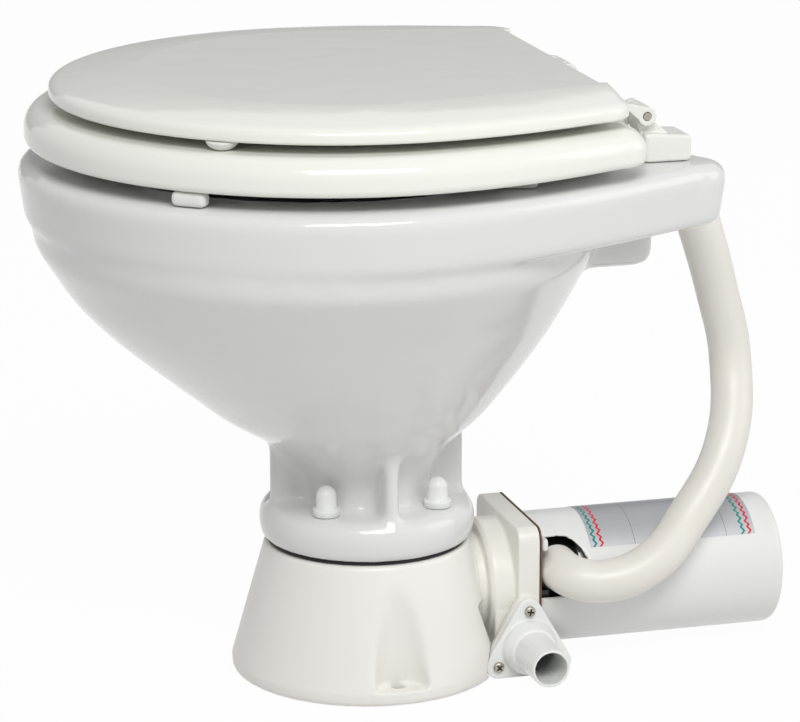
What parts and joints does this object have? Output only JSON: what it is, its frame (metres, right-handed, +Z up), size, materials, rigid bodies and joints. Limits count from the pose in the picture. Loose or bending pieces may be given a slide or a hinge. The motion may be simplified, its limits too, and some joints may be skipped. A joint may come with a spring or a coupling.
{
  "type": "electric marine toilet",
  "caption": "Compact boat toilet: porcelain bowl on a tapered plastic base, macerator pump and motor behind, rinse hose, hinged seat and lid.",
  "frame": {"origin": "floor level, on the centre line of the round base", "axes": "+Z up, -Y towards the front of the bowl, +Y towards the motor, +X towards the discharge spigot"},
  "size_m": [0.376, 0.4845, 0.3896],
  "materials": {
    "porcelain": "smooth white glaze",
    "ivory_plastic": "satin moulded ivory",
    "white_plastic": "satin moulded white",
    "cover_plastic": "smooth moulded white with a silver information band",
    "enamelled_wood": "thick glossy white enamel",
    "hose_vinyl": "smooth warm white vinyl",
    "black_plastic": "moulded black",
    "black_rubber": "matt black",
    "white_rubber": "matt white",
    "brown_fibre": "pressed fibre sheet",
    "steel": "plain machined",
    "stainless": "stainless fastener",
    "laminated_steel": "stacked laminations",
    "magnet": "sintered ferrite",
    "copper": "turned copper"
  },
  "bodies": {
    "toilet": {"base": "ivory_plastic", "base_plate": "ivory_plastic", "bolt_cap_1": "white_plastic", "bolt_cap_2": "white_plastic", "bolt_cap_3": "white_plastic", "bolt_cap_4": "white_plastic", "bowl": "porcelain", "bowl_gasket": "black_rubber", "discharge_flange": "white_plastic", "discharge_screw_1": "stainless", "discharge_screw_2": "stainless", "discharge_screw_3": "stainless", "flange_bolt_1": "stainless", "flange_bolt_2": "stainless", "flange_bolt_3": "stainless", "flange_bolt_4": "stainless", "front_bearing": "steel", "hinge_block_left": "white_plastic", "hinge_block_right": "white_plastic", "hinge_nut_left": "white_plastic", "hinge_nut_right": "white_plastic", "hinge_pin_left": "stainless", "hinge_pin_right": "stainless", "intake_elbow": "ivory_plastic", "joker_valve": "black_rubber", "magnet_1": "magnet", "magnet_2": "magnet", "motor_can": "steel", "motor_cover": "cover_plastic", "motor_front_bell": "steel", "motor_rear_cap": "steel", "pump_gasket": "brown_fibre", "pump_housing": "ivory_plastic", "pump_screw_1": "stainless", "pump_screw_2": "stainless", "rear_bearing": "steel", "rinse_elbow": "white_plastic", "rinse_hose": "hose_vinyl", "rinse_pump_body": "black_plastic", "rinse_pump_cover": "black_plastic", "shaft_seal": "black_rubber"},
    "seat": {"seat": "enamelled_wood", "seat_arm_left": "white_plastic", "seat_arm_right": "white_plastic", "seat_buffer_back_left": "white_rubber", "seat_buffer_back_right": "white_rubber", "seat_buffer_front_left": "white_rubber", "seat_buffer_front_right": "white_rubber"},
    "lid": {"lid": "enamelled_wood", "lid_arm_left": "white_plastic", "lid_arm_right": "white_plastic", "lid_buffer_left": "white_rubber", "lid_buffer_right": "white_rubber"},
    "rotor": {"motor_shaft": "steel", "macerator_impeller": "steel", "rinse_impeller": "black_rubber", "armature": "laminated_steel", "commutator": "copper"}
  },
  "joints": [
    {"name": "seat_hinge", "type": "hinge", "parent": "toilet", "child": "seat", "pos_m": [0, 0.152, 0.366], "axis": [-1, 0, 0], "range_deg": [0, 93]},
    {"name": "lid_hinge", "type": "hinge", "parent": "seat", "child": "lid", "pos_m": [0, 0.152, 0.366], "axis": [-1, 0, 0], "range_deg": [0, 93]},
    {"name": "motor_spin", "type": "hinge", "parent": "toilet", "child": "rotor", "pos_m": [0, 0.19, 0.049], "axis": [0, 1, 0], "continuous": true}
  ]
}
